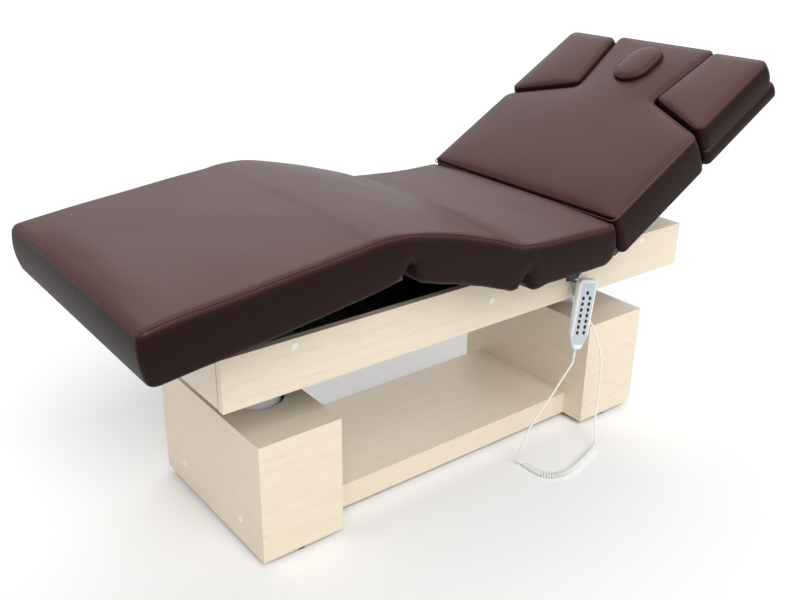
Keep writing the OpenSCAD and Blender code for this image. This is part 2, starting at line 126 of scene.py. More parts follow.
# ---- meshes from arrays ----
def smooth(keys, values, at):
    """Cubic through the values at the keys, with slopes from the neighbours on both sides."""
    keys, values, at = np.asarray(keys, float), np.asarray(values, float), np.asarray(at, float)
    slope = np.gradient(values, keys, axis=0)
    i = np.clip(np.searchsorted(keys, at, side="right") - 1, 0, len(keys) - 2)
    h = keys[i + 1] - keys[i]
    t = (at - keys[i]) / h
    if values.ndim > 1:
        t, h = t[:, None], h[:, None]
    return ((2 * t**3 - 3 * t**2 + 1) * values[i] + (t**3 - 2 * t**2 + t) * h * slope[i]
            + (3 * t**2 - 2 * t**3) * values[i + 1] + (t**3 - t**2) * h * slope[i + 1])


def quads(grid, flip=False):
    """Four-sided faces between the neighbours of a grid of vertex numbers."""
    a, b, c, d = grid[:-1, :-1], grid[1:, :-1], grid[1:, 1:], grid[:-1, 1:]
    f = np.stack([a, b, c, d] if not flip else [a, d, c, b], -1)
    return f.reshape(-1, 4)


def piece(name, parts, material, sharp=40):
    """One object from several (vertices, faces) shells."""
    verts, faces, start = [], [], 0
    for v, fs in parts:
        verts.append(v)
        for f in fs:
            faces += (f + start).tolist()
        start += len(v)
    mesh = bpy.data.meshes.new(name)
    mesh.from_pydata(np.concatenate(verts).tolist(), [], faces)
    mesh.validate()
    mesh.shade_smooth()
    mesh.set_sharp_from_angle(angle=math.radians(sharp))
    mesh.materials.append(material)
    obj = bpy.data.objects.new(name, mesh)
    bpy.context.scene.collection.objects.link(obj)
    return obj


def carve(obj, cutter):
    """Takes the cutter's volume out of the object, and drops the cutter."""
    cut = obj.modifiers.new("cut", "BOOLEAN")
    cut.operation, cut.solver, cut.object = "DIFFERENCE", "EXACT", cutter
    with bpy.context.temp_override(object=obj, active_object=obj):
        bpy.ops.object.modifier_apply(modifier="cut")
    bpy.data.objects.remove(cutter)


def frames(path, up):
    """Side directions carried along a path untwisted: each is the last one less its part along the path."""
    step = np.gradient(path, axis=0)
    ahead = step / np.linalg.norm(step, axis=1)[:, None]
    side = np.zeros_like(path)
    v = np.asarray(up, float)
    for i, t in enumerate(ahead):
        v = v - t * (v @ t)
        v = v / np.linalg.norm(v)
        side[i] = v
    return side, np.cross(ahead, side)


def tube(path, radius, sides=8, up=(0, 0, 1), closed=False):
    """A ring of the radius carried along the path; the ends are closed unless the path is a loop."""
    path = np.asarray(path, float)
    a, b = frames(path, up)
    turn = np.linspace(0, 2 * np.pi, sides, endpoint=False)
    r = np.broadcast_to(radius, (len(path),))[:, None, None]
    ring = np.cos(turn)[None, :, None] * a[:, None] + np.sin(turn)[None, :, None] * b[:, None]
    v = path[:, None] + r * ring
    grid = np.arange(len(path) * sides).reshape(len(path), sides)
    wrap = np.concatenate([grid, grid[:, :1]], 1)
    if closed:
        wrap = np.concatenate([wrap, wrap[:1]], 0)
        return v.reshape(-1, 3), [quads(wrap, True)]
    return v.reshape(-1, 3), [quads(wrap, True), grid[:1], grid[-1:, ::-1]]


def lines(lo, hi, r_lo, r_hi, step):
    """Grid lines from lo to hi, closer in the rounded stretch at each end so that the round is even."""
    turn = 1 - np.tan(np.radians(np.array([45, 34, 23, 12])))
    middle = np.linspace(lo + r_lo, hi - r_hi, max(2, int(round((hi - lo - r_lo - r_hi) / step)) + 1))
    first = lo + r_lo * turn if r_lo else np.zeros(0)
    last = hi - r_hi * turn[::-1] if r_hi else np.zeros(0)
    return np.concatenate([first, middle, last])


def rounded_block(s, y, h, radii):
    """Surface of a block on three sets of grid lines, its edges turned to arcs.

    A point of the sharp block is drawn in to the arc: the nearest point of the smaller inner block, plus the
    radius in the direction from there. radii holds (low end, high end) for each of the three directions."""
    shape = (len(s), len(y), len(h))
    ids = -np.ones(shape, int)
    i, j, k = np.indices(shape)
    skin = (i == 0) | (i == shape[0] - 1) | (j == 0) | (j == shape[1] - 1) | (k == 0) | (k == shape[2] - 1)
    ids[skin] = np.arange(skin.sum())
    p = np.stack([s[i[skin]], y[j[skin]], h[k[skin]]], -1)
    lo = np.array([g[0] for g in (s, y, h)])
    hi = np.array([g[-1] for g in (s, y, h)])
    r_lo = np.array([r[0] for r in radii])
    r_hi = np.array([r[1] for r in radii])
    inner = np.clip(p, lo + r_lo, hi - r_hi)
    r = np.where(p < inner, r_lo, r_hi)
    q = (p - inner) / np.where(r == 0, 1, r)
    size = np.linalg.norm(q, axis=1)[:, None]
    p = inner + r * q / np.where(size == 0, 1, size)
    faces = [quads(ids[:, :, -1]), quads(ids[:, :, 0], True), quads(ids[:, 0, :]),
             quads(ids[:, -1, :], True), quads(ids[0, :, :], True), quads(ids[-1, :, :])]
    return p, faces, ids


def fillet(points, radii, step=0.006):
    """A closed outline with evenly spaced points; each corner is an arc that touches both its sides."""
    points = np.asarray(points, float)
    out = []
    for i, p in enumerate(points):
        a, b = points[i - 1] - p, points[(i + 1) % len(points)] - p
        a, b = a / np.linalg.norm(a), b / np.linalg.norm(b)
        half = math.acos(np.clip(a @ b, -1, 1)) / 2
        reach = radii[i] / math.tan(half)
        mid = (a + b) / np.linalg.norm(a + b)
        centre = p + mid * radii[i] / math.sin(half)
        t = np.linspace(-1, 1, 13)[:, None] * (math.pi / 2 - half)
        across = (b - a) / np.linalg.norm(b - a)
        out.append(centre - mid * radii[i] * np.cos(t) + across * radii[i] * np.sin(t))
    loop = np.concatenate(out)
    loop = np.concatenate([loop, loop[:1]])
    gap = np.linalg.norm(np.diff(loop, axis=0), axis=1)
    run = np.concatenate([[0], np.cumsum(gap)])
    count = int(run[-1] / step)
    at = np.linspace(0, run[-1], count, endpoint=False)
    return np.stack([np.interp(at, run, loop[:, 0]), np.interp(at, run, loop[:, 1])], -1)


def pad(outline, n0, n1, r0, r1, centre, crown=0.0, belly=0.0, step=0.01):
    """A closed pad on an outline that turns anticlockwise.

    Its rings go up the side, round both edges and in to the centre. The side bulges by belly halfway up, and
    the top swells by crown. Gives the shell in (the outline's two directions, height) and its top edge."""
    ahead = np.roll(outline, -1, 0) - np.roll(outline, 1, 0)
    out = np.stack([ahead[:, 1], -ahead[:, 0]], -1) / np.linalg.norm(ahead, axis=1)[:, None]
    arc = np.radians(np.linspace(0, 90, 7))
    reach = np.linalg.norm(outline - centre, axis=1).max()
    inward = np.linspace(1, 0, int(reach / step) + 1)[1:-1]
    rows = []

    def ring(offset, height):
        rows.append(np.column_stack([outline + out * offset, np.full(len(outline), height)]))

    def inner(share, height):
        edge = outline - out * (r1 if height > n0 else r0)
        rows.append(np.column_stack([centre + (edge - centre) * share, np.full(len(outline), height)]))

    for share in inward[::-4]:
        inner(share, n0)
    for a in arc[::-1]:
        ring(-r0 * (1 - math.cos(a)), n0 + r0 * (1 - math.sin(a)))
    for t in np.linspace(0, 1, 9)[1:-1]:
        ring(belly * 4 * t * (1 - t), n0 + r0 + (n1 - r1 - n0 - r0) * t)
    for a in arc:
        ring(-r1 * (1 - math.cos(a)), n1 - r1 * (1 - math.sin(a)))
    edge_row = len(rows) - 4
    for share in inward:
        inner(share, n1)
    m = len(outline)
    v = np.concatenate(rows + [[[*centre, n0]], [[*centre, n1]]])
    if crown:
        top = v[:, 2] > n1 - 1e-6
        v[top, 2] += crown * swell(v[top, :2], outline - out * r1)
    grid = np.arange(len(rows) * m).reshape(len(rows), m)
    wrap = np.concatenate([grid, grid[:, :1]], 1)
    first, last = len(rows) * m, len(rows) * m + 1
    fan = np.stack([np.full(m, first), np.roll(grid[0], -1), grid[0]], -1)
    cap = np.stack([np.full(m, last), grid[-1], np.roll(grid[-1], -1)], -1)
    return v, [quads(wrap, True), fan, cap], rows[edge_row]


def inside(points, outline):
    """True where a point is within the outline: a ray from it crosses the sides an odd number of times."""
    a, b = outline, np.roll(outline, -1, 0)
    x, y = points[:, :1], points[:, 1:]
    above = (a[:, 1] > y) != (b[:, 1] > y)
    rise = np.where(b[:, 1] == a[:, 1], 1, b[:, 1] - a[:, 1])
    crossing = a[:, 0] + (y - a[:, 1]) * (b[:, 0] - a[:, 0]) / rise
    return (above & (x < crossing)).sum(1) % 2 == 1


def swell(points, outline, cell=0.006, rounds=2600, power=0.6):
    """Height of a skin held at the outline and pressed up from below, 1 at its highest point.

    On a square grid every cell is the mean of its four neighbours plus the push, over and over until it is
    still; the power flattens the middle and steepens the edge as stuffing does. Points read it bilinearly."""
    lo = outline.min(0) - 2 * cell
    count = np.ceil((outline.max(0) + 2 * cell - lo) / cell).astype(int) + 1
    i, j = np.indices(count)
    cells = np.stack([i.ravel(), j.ravel()], -1) * cell + lo
    within = inside(cells, outline).reshape(count)
    height = np.zeros(count)
    for _ in range(rounds):
        mean = sum(np.roll(height, way, axis) for way in (1, -1) for axis in (0, 1)) / 4
        height = np.where(within, mean + 0.001, 0)
    height = (height / height.max()) ** power
    at = np.clip((points - lo) / cell, 0, count - 1.001)
    k = at.astype(int)
    fx, fy = (at - k).T
    a, b = height[k[:, 0], k[:, 1]], height[k[:, 0] + 1, k[:, 1]]
    c, d = height[k[:, 0], k[:, 1] + 1], height[k[:, 0] + 1, k[:, 1] + 1]
    return (a * (1 - fx) + b * fx) * (1 - fy) + (c * (1 - fx) + d * fx) * fy


def on_back(v):
    """Moves points from (along the back, across, above its hinge line) to the bed's frame, in metres."""
    xz = back(v[:, 0] / MM, v[:, 2] / MM)
    return np.column_stack([xz[:, 0], v[:, 1], xz[:, 1]])


# ---- materials ----
class Value:
    """A socket that adds Math nodes when it is used in an expression."""

    def __init__(self, shader, socket):
        self.shader, self.socket = shader, socket

    def _maths(self, operation, *others):
        return self.shader.node("ShaderNodeMath", {"operation": operation}, dict(enumerate((self, *others))))

    def __add__(self, o):
        return self._maths("ADD", o)

    def __sub__(self, o):
        return self._maths("SUBTRACT", o)

    def __mul__(self, o):
        return self._maths("MULTIPLY", o)

    def __pow__(self, o):
        return self._maths("POWER", o)

    def __gt__(self, o):
        return self._maths("GREATER_THAN", o)

    def __rsub__(self, o):
        return self._maths("MULTIPLY_ADD", -1.0, o)

    __radd__, __rmul__ = __add__, __mul__

    def absolute(self):
        return self._maths("ABSOLUTE")


class Shader:
    """A material with one Principled shader, and one method that adds any other node."""

    def __init__(self, name, **sockets):
        self.material = bpy.data.materials.new(name)
        self.material.use_nodes = True
        self.tree = self.material.node_tree
        self.main = next(n for n in self.tree.nodes if n.type == "BSDF_PRINCIPLED")
        self.set(**sockets)

    def set(self, **sockets):
        for key, value in sockets.items():
            self._plug(self.main.inputs[key.replace("_", " ")], value)

    def _plug(self, socket, value):
        if isinstance(value, Value):
            self.tree.links.new(value.socket, socket)
        elif isinstance(value, (tuple, list)) and len(value) == 3 and socket.type == "RGBA":
            socket.default_value = (*value, 1)
        else:
            socket.default_value = value

    def node(self, kind, settings=(), inputs=(), output=0):
        made = self.tree.nodes.new(kind)
        for key, value in dict(settings).items():
            if key == "stops":
                ramp = made.color_ramp.elements
                while len(ramp) < len(value):
                    ramp.new(0.5)
                for stop, (at, colour) in zip(ramp, value):
                    stop.position, stop.color = at, (*colour, 1)
            else:
                setattr(made, key, value)
        for key, value in dict(inputs).items():
            self._plug(made.inputs[key], value)
        return Value(self, made.outputs[output])

    def place(self, scale=(1, 1, 1)):
        """Object coordinates, stretched."""
        own = self.node("ShaderNodeTexCoord", output="Object")
        return self.node("ShaderNodeMapping", inputs={"Vector": own, "Scale": scale})

    def noise(self, place, scale, detail=2.0, rough=0.5):
        return self.node("ShaderNodeTexNoise", inputs={"Vector": place, "Scale": scale, "Detail": detail,
                                                       "Roughness": rough})

    def ramp(self, value, *stops):
        return self.node("ShaderNodeValToRGB", {"stops": stops}, {0: value})

    def mix(self, share, a, b):
        return self.node("ShaderNodeMix", {"data_type": "RGBA"}, {0: share, 6: a, 7: b}, output=2)

    def greater(self, value, least):
        return self.node("ShaderNodeMath", {"operation": "MAXIMUM"}, {0: value, 1: least})

    def bump(self, *layers):
        """Normal from (height, depth in metres, strength) layers, one on the other."""
        normal = None
        for height, depth, strength in layers:
            sockets = {"Height": height, "Distance": depth, "Strength": strength}
            if normal is not None:
                sockets["Normal"] = normal
            normal = self.node("ShaderNodeBump", inputs=sockets)
        self.set(Normal=normal)


def leather_with_painted_shade(name, deep, light, shade=0.20):
    """Soft coated hide: pebble grain about a millimetre across, slow creases, patches a little lighter.

    Painted shade: what faces sideways or down is a deeper tone than what faces up, standing in for light from
    above; the coat also lies only on what faces up."""
    s = Shader(name, Sheen_Weight=0.03, Sheen_Roughness=0.4, Coat_Roughness=0.38, Coat_IOR=1.45,
               Specular_IOR_Level=0.08)
    own = s.place()
    patches = s.noise(own, 5.0, 3.0)
    fine = s.noise(own, 160.0, 2.0)
    cells = s.node("ShaderNodeTexVoronoi", {"feature": "SMOOTH_F1"}, {"Vector": own, "Scale": 620.0})
    creases = s.noise(own, 22.0, 4.0, 0.55)
    share = patches * 0.55 + fine * 0.3 + cells * 0.25
    normal = s.node("ShaderNodeTexCoord", output="Normal")
    facing = s.node("ShaderNodeSeparateXYZ", inputs={0: normal}, output=2)
    up = s.ramp(facing, (0.15, (0, 0, 0)), (0.75, (1, 1, 1)))
    painted_shade_tones = (tuple(c * shade for c in tone) for tone in (deep, light))
    # painted shade: faces turned sideways or down take the tones times shade, faces turned up keep them
    s.set(Base_Color=s.mix(up, s.mix(share, *painted_shade_tones), s.mix(share, deep, light)),
          Roughness=0.40 + fine * 0.10 + patches * 0.06,
          Coat_Weight=up * (0.40 + patches * 0.12))
    s.bump((creases, 0.004, 0.16), (cells, 0.0006, 0.75), (fine, 0.0008, 0.35))
    return s.material


def laminate_finish(name, pale, dark):
    """Pale wood laminate: fine streaks that run level on every face, broken into pores and slow bands."""
    s = Shader(name, Coat_Roughness=0.3)
    normal = s.node("ShaderNodeTexCoord", output="Normal")
    facing = s.node("ShaderNodeSeparateXYZ", inputs={0: normal}, output=0).absolute() > 0.5
    run = s.place((2.2, 110, 110))
    cross = s.place((110, 2.2, 110))
    pick = s.node("ShaderNodeMix", {"data_type": "VECTOR"}, {0: facing, 4: run, 5: cross}, output=1)
    bands = s.noise(pick, 0.9, 3.0, 0.6)
    streaks = s.noise(pick, 5.5, 4.0, 0.7)
    pores = s.noise(pick, 14.0, 2.0, 0.6)
    line = s.ramp(streaks, (0.36, (0, 0, 0)), (0.60, (1, 1, 1)))
    tone = bands * 0.38 + line * 0.36 + pores * 0.32
    s.set(Base_Color=s.mix(tone, dark, pale), Roughness=0.42 + streaks * 0.14, Coat_Weight=0.10)
    s.bump((pores, 0.0004, 0.25), (streaks, 0.0005, 0.15))
    return s.material


def plain_finish(name, colour, rough, metal=0.0, grain=900.0, depth=0.0002, coat=0.0, spread=0.12):
    """Moulded or coated surface: a fine texture, and a colour that drifts a little lighter and darker."""
    s = Shader(name, Metallic=metal, Coat_Roughness=0.2)
    own = s.place()
    slow, fine = s.noise(own, 9.0, 2.0), s.noise(own, grain, 2.0)
    dim = tuple(c * (1 - spread) for c in colour)
    s.set(Base_Color=s.mix(slow * 0.7 + fine * 0.3, dim, colour), Roughness=rough - 0.05 + fine * 0.10,
          Coat_Weight=coat)
    s.bump((fine, depth, 0.2))
    return s.material


def ply_finish(name):
    """Stained board seen only from below: straight dark grain."""
    s = Shader(name)
    streaks = s.noise(s.place((3, 50, 50)), 3.0, 3.0)
    s.set(Base_Color=s.mix(streaks, (0.035, 0.026, 0.020), (0.075, 0.056, 0.042)),
          Roughness=0.6 + streaks * 0.1)
    s.bump((streaks, 0.0004, 0.2))
    return s.material


# painted shade on sideways and downward faces: the hide at 0.20 of its tones, the welt at 0.7
HIDE = leather_with_painted_shade("brown_hide", (0.060, 0.0235, 0.0205), (0.100, 0.043, 0.038))
WELT = leather_with_painted_shade("brown_welt", (0.095, 0.046, 0.041), (0.150, 0.078, 0.070), 0.7)
WOOD = laminate_finish("pale_laminate", (0.89, 0.805, 0.675), (0.69, 0.555, 0.395))
PLY = ply_finish("stained_board")
STEEL = plain_finish("dark_coated_steel", (0.022, 0.022, 0.024), 0.42, grain=1400.0, depth=0.0001)
WHITE_PAINT = plain_finish("pale_coated_steel", (0.74, 0.75, 0.77), 0.32, grain=1200.0, depth=0.0001,
                           spread=0.05)
HOUSING = plain_finish("black_housing", (0.02, 0.02, 0.021), 0.5, grain=1600.0)
RUBBER = plain_finish("black_rubber", (0.016, 0.016, 0.016), 0.6, grain=1100.0)
SHELL = plain_finish("white_shell", (0.80, 0.80, 0.79), 0.28, grain=1800.0, depth=0.00006, coat=0.2,
                     spread=0.04)
PANEL = plain_finish("grey_panel", (0.46, 0.54, 0.62), 0.38, grain=1500.0, depth=0.00006, spread=0.06)
GLAND = plain_finish("grey_gland", (0.42, 0.47, 0.40), 0.55, grain=1200.0)
CORD = plain_finish("white_cord", (0.88, 0.88, 0.86), 0.42, grain=1300.0, depth=0.0001, spread=0.06)
# near-black underside colour, partly painted shade for the shaded space under the frame
UNDERSIDE_BLACK_AND_SHADE = plain_finish("underside_black_and_shade", (0.034, 0.029, 0.026), 0.8, grain=700.0, depth=0.0004)
CAP = plain_finish("white_cap", (0.88, 0.88, 0.87), 0.35, grain=1500.0, depth=0.00005, spread=0.03)
FINISH = {"pale_laminate": WOOD, "plywood": PLY, "brown_leather": HIDE, "black_rubber": RUBBER,
          "pale_paint": WHITE_PAINT, "black_housing": HOUSING, "black_bracket": STEEL, "white_plastic": SHELL,
          "grey_plastic": PANEL, "grey_rubber": GLAND, "black_plastic": RUBBER, "white_cord": CORD,
          "dark_steel": STEEL}


def handset_turn():
    """Turn of the handset in its holder: about its own upright line, then tilted with the holder."""
    return Matrix.Rotation(HANDSET_TILT, 3, "Y") @ Matrix.Rotation(HANDSET_YAW, 3, "Z")


def face_finish():
    """Front of the handset: a grey field inside a white border, with a white ring round each button.

    Distances are in the handset's own millimetres. A button is a short upright stroke, and its ring is what
    lies nearer to the stroke than RING."""
    s = Shader("handset_front", Roughness=0.35, Coat_Weight=0.15, Coat_Roughness=0.2)
    own = s.place()
    local = s.node("ShaderNodeMapping", {"vector_type": "TEXTURE"},
                   {"Vector": own, "Location": tuple(bed(*HANDSET)),
                    "Rotation": tuple(handset_turn().to_euler()), "Scale": (MM, MM, MM)})
    x, z = (s.node("ShaderNodeSeparateXYZ", inputs={0: local}, output=k) for k in (0, 2))
    wide = x.absolute()
    row = s.node("ShaderNodeMath", {"operation": "PINGPONG"}, {0: z + ROW_0, 1: ROW_STEP / 2})
    across, tall = wide - COL_OFF, s.greater(row - STROKE, 0.0)
    rings = RING - (across * across + tall * tall) ** 0.5 > 0
    rings = rings * (z > -ROW_0 - 6.5 * ROW_STEP) * (-ROW_0 + 8 - z > 0)
    top = s.greater((z + ROW_0 - TOP_BUTTON).absolute() - STROKE, 0.0)
    single = RING - (wide * wide + top * top) ** 0.5 > 0
    field = (22 - wide > 0) * (z > 16 - HANDSET_LEN) * (-9 - z > 0)
    white = s.greater(rings, single)
    fine = s.noise(own, 1500.0, 2.0)
    s.set(Base_Color=s.mix(field * (1 - white), (0.80, 0.80, 0.79), (0.50, 0.55, 0.60)))
    s.bump((fine, 0.00006, 0.2))
    return s.material


def dress_frame():
    """Every CAD node takes the finish of its material slot."""
    for entry in frame["record"]["subparts"]:
        obj = nodes[entry["node"]]
        if not obj.data.materials:
            obj.data.materials.append(None)
        for place in obj.material_slots:
            place.material = FINISH[entry["material_slot"]]
    for place in nodes["handset_face"].material_slots:
        place.material = face_finish()


# ---- cord ----
CORD_D, COIL_D = 0.0055, 0.018


def catmull(points, steps):
    """A smooth curve through the points: on each stretch a cubic whose end slopes follow the neighbours."""
    p = np.asarray(points, float)
    at = np.arange(len(p))
    return smooth(at, p, np.linspace(0, len(p) - 1, (len(p) - 1) * steps + 1))


def cord():
    """The lower run, the curled part and the upper run on one path.

    The curled part turns round its route: a circle of the coil's middle radius, one turn each pitch."""
    down = np.array(handset_turn() @ Vector((0, 0, -1)))
    boot = np.array(HANDSET) + np.array(handset_turn() @ Vector((0, BOOT_Y, -HANDSET_LEN - BOOT_LEN - 0.3)))
    z = COIL_D / 2 / MM
    lower = [boot, boot + 8 * down, boot + 16 * down, (290, -325, 252), (242, -326, 203), (196, -327, 162),
             (160, -327, 122), (141, -325, 82), (136, -318, 44), (138, -310, 20), (145, -318.4, 11)]
    coil = [(148, -322, z), (150, -348, z), (152, -378, z), (160, -405, z), (182, -424, z), (212, -432, z),
            (258, -428, z), (317, -412, z), (368, -394, z), (384, -388, z + 6)]
    upper = [(387.5, -386.7, z + 7.3), (392, -382, 36), (400, -368, 80), (412, -358, 124), (424, -350, 172),
             (434, -342, 218), (438, -335, 264), (434, -328, 304), (414, -318, 362), (397, -308, 400),
             (380, -298, 426), (362, -286, 446), (353, -280, 458), (352, -279, 465), (352, -279, 472),
             (352, -279, 479)]
    first, route, last = (catmull([bed(*p) for p in points], 6) for points in (lower, coil, upper))
    run = np.concatenate([[0], np.cumsum(np.linalg.norm(np.diff(route, axis=0), axis=1))])
    pitch = 0.0068
    turns = round(run[-1] / pitch)
    at = np.linspace(0, run[-1], turns * 14 + 1)
    axis = smooth(run, route, at)
    a, b = frames(axis, (0, 0, 1))
    ease = np.clip(np.minimum(at, run[-1] - at) / (2 * pitch), 0, 1)
    radius = (COIL_D - CORD_D) / 2 * ease * ease * (3 - 2 * ease)
    angle = 2 * np.pi * turns * at / run[-1]
    curl = axis + radius[:, None] * (np.cos(angle)[:, None] * a + np.sin(angle)[:, None] * b)
    path = np.concatenate([first, curl, last])
    path[:, 2] = np.maximum(path[:, 2], CORD_D / 2)
    obj = piece("handset_cord", [tube(path, CORD_D / 2, 8, (0, 1, 0))], CORD)
    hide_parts("cord_lower", "cord_coil", "cord_upper")
    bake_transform(obj)


# ---- leg and seat cushions ----
def knee_up(dx, dz):
    return near(KNEE, dx, dz)


def seat_up(dx, dz):
    return near(SEAT, dx, dz)


# top seam and lower edge at the near side, from the foot end to the seat's head end
SIDE_ROWS = [
    (calf(645, 139), calf(645, 8)), (calf(560, 142), calf(560, 9)), (calf(420, 142), calf(420, 9)),
    (calf(300, 142), calf(300, 11)), (calf(190, 142), calf(190, 14)), (calf(110, 142), calf(110, 17)),
    (knee_up(-97, 133.5), knee_up(-70, 12)), (knee_up(-62, 134.5), knee_up(-44, 20)),
    (knee_up(-40, 134), knee_up(-28, 34)), (knee_up(-22, 132.5), knee_up(-16, 52)),
    (knee_up(-4, 130.5), knee_up(-2, 58)), (knee_up(12, 128), knee_up(9, 50)),
    (knee_up(26, 125.5), knee_up(13, 30)), (knee_up(38, 123), knee_up(20, 10)),
    (knee_up(75, 115), knee_up(59, -8)), (thigh(240, 138), thigh(240, 13)), (thigh(190, 138), thigh(190, 13)),
    (thigh(140, 138), thigh(140, 13)), (seat_up(-40, 152), seat_up(-65, 31)),
    (seat_up(-10, 143), seat_up(-28, 21)), (seat_up(6, 139), seat_up(-14, 34)),
    (seat_up(20, 137.5), seat_up(-3, 54)), (seat_up(34, 136), seat_up(16, 57)),
    (seat_up(46, 135), seat_up(24, 36)), (seat_up(60, 134), seat_up(32, 12)),
    (seat_up(110, 131), seat_up(100, 9)), (seat_up(200, 128), seat_up(200, 9)),
    (seat_up(290, 127), seat_up(290, 9)), (seat_up(322, 127), seat_up(318, 11)),
    (seat_up(333, 127.5), seat_up(340, 24)), (seat_up(336, 128), seat_up(361, 38)),
]
ROW_TOP = np.array([r[0] for r in SIDE_ROWS])
ROW_LOW = np.array([r[1] for r in SIDE_ROWS])
EDGE_STEP = sum(np.linalg.norm(np.diff(edge, axis=0), axis=1) for edge in (ROW_TOP, ROW_LOW)) / 2
ROW_AT = np.concatenate([[0], np.cumsum(EDGE_STEP)])
CUT_AT = ROW_AT[16]
THICK = 0.128


def soft_cushion(s0, s1, round_start, round_end):
    """Part of the long cushion: a block with round edges, bent so that its side runs between the edge lines.

    The top is crowned across and falls away over the last stretch at a closed end, and the side swells a
    little halfway up. Gives the shell and the paths of its seams."""
    r, r_end = 0.014, 0.022
    s = lines(s0, s1, r_end * round_start, r_end * round_end, 0.007)
    y = lines(-HALF, HALF, r, r, 0.010)
    h = lines(0, THICK, r, r, 0.010)
    p, faces, ids = rounded_block(s, y, h, ((r_end * round_start, r_end * round_end), (r, r), (r, r)))
    top, low = smooth(ROW_AT, ROW_TOP, p[:, 0]), smooth(ROW_AT, ROW_LOW, p[:, 0])
    share = p[:, 2] / THICK
    v = p[:, 1] / HALF
    from_start = (p[:, 0] - s0) / 0.10 if round_start else np.ones(len(p))
    from_end = (s1 - p[:, 0]) / 0.07 if round_end else np.ones(len(p))
    ease = 1 - (1 - np.clip(np.minimum(from_start, from_end), 0, 1)) ** 2
    lift = (1 - np.abs(v) ** 2.6) * ease
    upper = np.clip((share - 0.5) * 2, 0, 1)
    crown = 0.017 * lift * upper
    ripple = 0.0011 * np.sin(p[:, 0] * 21 + np.sin(p[:, 1] * 9) * 1.4) * np.sin(p[:, 1] * 13 + p[:, 0] * 5)
    tuck = 0.004 * (share < 0.02) * (np.abs(v) < 0.9)
    side_way = (top - low) / np.linalg.norm(top - low, axis=1)[:, None]
    xz = low + (top - low) * share[:, None] + side_way * (crown + ripple * upper * ease + tuck)[:, None]
    bulge = 4 * share * (1 - share)
    belly = 0.007 * bulge * np.clip((np.abs(v) - 0.9) * 10, 0, 1) * np.sign(v)
    if round_start:
        xz[:, 0] -= 0.011 * bulge * np.clip(1 - (p[:, 0] - s0) / 0.05, 0, 1)
    verts = np.column_stack([xz[:, 0], p[:, 1] + belly, xz[:, 1]])
    near_edge, far_edge = verts[ids[:, 0, -1]], verts[ids[:, -1, -1]]
    seams = []
    if round_start:
        loop = np.concatenate([near_edge[::-1], verts[ids[0, 1:-1, -1]], far_edge])
        seams += [loop, verts[ids[0, 0, 2:]], verts[ids[0, -1, 2:]]]
    if round_end:
        loop = np.concatenate([near_edge, verts[ids[-1, 1:-1, -1]], far_edge[::-1]])
        seams += [loop]
    return (verts, faces), seams


def even(path, step=0.006):
    """The same path with evenly spaced points."""
    run = np.concatenate([[0], np.cumsum(np.linalg.norm(np.diff(path, axis=0), axis=1))])
    at = np.linspace(0, run[-1], max(4, int(run[-1] / step)))
    return np.stack([np.interp(at, run, path[:, k]) for k in range(3)], -1)


def leg_and_seat():
    shell, seams = soft_cushion(0, CUT_AT, True, False)
    legs = piece("leg_cushion", [shell] + [tube(even(p), 0.0016, 6) for p in seams], HIDE)
    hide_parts("calf_pad", "knee_foam")
    shell, seams = soft_cushion(CUT_AT, ROW_AT[-1], False, True)
    seat = piece("seat_cushion", [shell] + [tube(even(p), 0.0016, 6) for p in seams], HIDE)
    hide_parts("thigh_pad", "seat_pad", "seat_thigh_foam", "back_seat_foam")
    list(calf(115, 70)[:1])
    calf(115, 70)[1]
    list(thigh(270, 70)[:1])
    thigh(270, 70)[1]
    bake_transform(legs)
    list(thigh(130, 70)[:1])
    thigh(130, 70)[1]
    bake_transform(seat)


# ---- back cushion, arm pads and face plug ----
SKIRT_N, BACK_N, ARM_N = 12.4, 136, 142
SHOULDER_U, NECK_U, HEAD_U, FACE_U = 420, 530, 792, 652


def metres(points):
    return np.array(points, float) * MM


def back_cushion():
    half = HALF / MM
    right = [(SHOULDER_U, half), (516, 160), (NECK_U, 150), (HEAD_U, 186.5)]
    turned = [(u, -y) for u, y in right]
    outline = fillet(metres([(41, -half)] + turned + right[::-1] + [(41, half)]),
                     metres([16, 34, 22, 22, 16, 16, 22, 22, 34, 16]))
    v, faces, edge = pad(outline, SKIRT_N * MM, BACK_N * MM, 0.007, 0.013, metres((400, 0)), 0.016, 0.003)
    v[:, 0] += np.clip(1 - (v[:, 0] - 0.041) / 0.05, 0, 1) * (v[:, 2] - 0.015) * 0.10
    shell = (on_back(v), faces)
    loop = on_back(np.concatenate([edge, edge[:1]]))
    obj = piece("back_cushion", [shell], HIDE)
    carve(obj, face_slot(0.058, 0.0, 0.2, "drill"))
    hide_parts("back_pad")
    welt = piece("back_welt", [tube(even(loop)[:-1], 0.0016, 6, closed=True)], WELT)
    for o in (obj, welt):
        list(back(42, 70)[:1])
        back(42, 70)[1]
        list(back(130, 70)[:1])
        back(130, 70)[1]
        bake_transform(o)


def face_slot(r, n0, n1, name):
    turn = np.linspace(0, 2 * np.pi, 96, endpoint=False)
    ring = np.column_stack([r * np.cos(turn) + 0.026 * np.sign(np.cos(turn)), r * np.sin(turn)])
    rings = [np.column_stack([ring + metres((FACE_U, 0)), np.full(96, n)]) for n in (n0, n1)]
    grid = np.arange(192).reshape(2, 96)
    wrap = np.concatenate([grid, grid[:, :1]], 1)
    faces = [quads(wrap, True), grid[:1, ::-1], grid[1:]]
    return piece(name, [(on_back(np.concatenate(rings)), faces)], HIDE)


def side_block(end_u, shrink):
    """Plan of an arm block on the far side: it fills the notch beside the head part."""
    half = HALF / MM
    inner = 157 + shrink
    return [(427 + shrink, half), (522 + shrink, 168 + shrink), (536 + shrink, inner),
            (end_u, inner + (end_u - 536) * 0.14), (end_u, half)]


